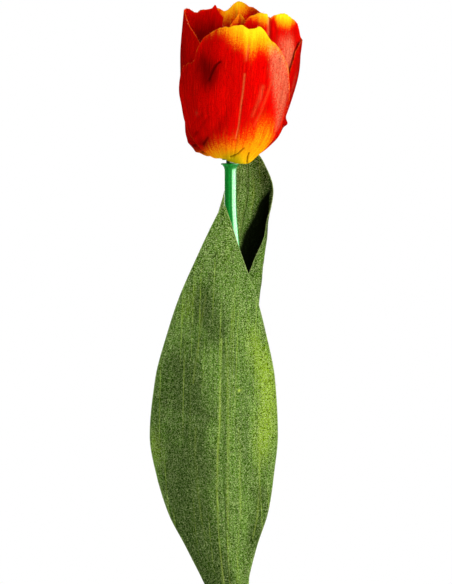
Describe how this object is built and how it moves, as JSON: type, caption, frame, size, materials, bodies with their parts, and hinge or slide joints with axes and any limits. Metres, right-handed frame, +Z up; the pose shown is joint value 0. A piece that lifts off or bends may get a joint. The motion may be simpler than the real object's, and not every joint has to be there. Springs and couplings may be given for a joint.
{
  "type": "artificial tulip",
  "caption": "Artificial tulip with cloth petals on a turning, pull-off head, a hollow wired plastic stem and cloth leaves on a sliding sleeve.",
  "frame": {"origin": "centre of the stem's foot", "axes": "+Z up the straight lower stem, +Y away from the front petal, +X to the viewer's right"},
  "size_m": [0.0607, 0.0484, 0.3493],
  "materials": {
    "petal_cloth": "printed cloth, red with orange and yellow, satin sheen",
    "leaf_cloth": "printed woven cloth, speckled green",
    "stem_plastic": "glossy green",
    "peg_plastic": "dark green",
    "hub_plastic": "green",
    "pistil_plastic": "pale green",
    "stigma_plastic": "pale yellow",
    "filament_plastic": "yellow green",
    "anther_plastic": "dark, powdery",
    "sleeve_plastic": "green",
    "rib_wire": "green coated wire",
    "wire_steel": "zinc coated"
  },
  "bodies": {
    "stem": {"stem_tube": "stem_plastic", "stem_wire": "wire_steel"},
    "peg": {"head_peg": "peg_plastic"},
    "flower_head": {"receptacle": "hub_plastic", "petal_ring": "hub_plastic", "pistil": "pistil_plastic", "stigma": "stigma_plastic", "petal_front": "petal_cloth", "petal_back": "petal_cloth", "petal_left": "petal_cloth", "petal_right": "petal_cloth", "petal_inner_right": "petal_cloth", "petal_inner_front": "petal_cloth", "filament_1": "filament_plastic", "filament_2": "filament_plastic", "filament_3": "filament_plastic", "filament_4": "filament_plastic", "filament_5": "filament_plastic", "filament_6": "filament_plastic", "anther_1": "anther_plastic", "anther_2": "anther_plastic", "anther_3": "anther_plastic", "anther_4": "anther_plastic", "anther_5": "anther_plastic", "anther_6": "anther_plastic"},
    "leaf_collar": {"leaf_collar": "sleeve_plastic"},
    "leaf_front": {"leaf_front_blade": "leaf_cloth", "leaf_front_rib": "rib_wire"},
    "leaf_back": {"leaf_back_blade": "leaf_cloth", "leaf_back_rib": "rib_wire"}
  },
  "joints": [
    {"name": "head_pull", "type": "slide", "parent": "stem", "child": "peg", "axis": [0, 0, 1], "range_m": [0, 0.013]},
    {"name": "head_turn", "type": "hinge", "parent": "peg", "child": "flower_head", "pos_m": [-0.0016, 0, 0.286], "axis": [0, 0, 1], "continuous": true},
    {"name": "sleeve_slide", "type": "slide", "parent": "stem", "child": "leaf_collar", "axis": [0, 0, 1], "range_m": [-0.025, 0.008]},
    {"name": "leaf_front_bend", "type": "hinge", "parent": "leaf_collar", "child": "leaf_front", "pos_m": [0, -0.0039, 0.0906], "axis": [1, 0, 0], "range_deg": [0, 35]},
    {"name": "leaf_back_bend", "type": "hinge", "parent": "leaf_collar", "child": "leaf_back", "pos_m": [0, 0.0039, 0.0906], "axis": [-1, 0, 0], "range_deg": [0, 35]}
  ]
}
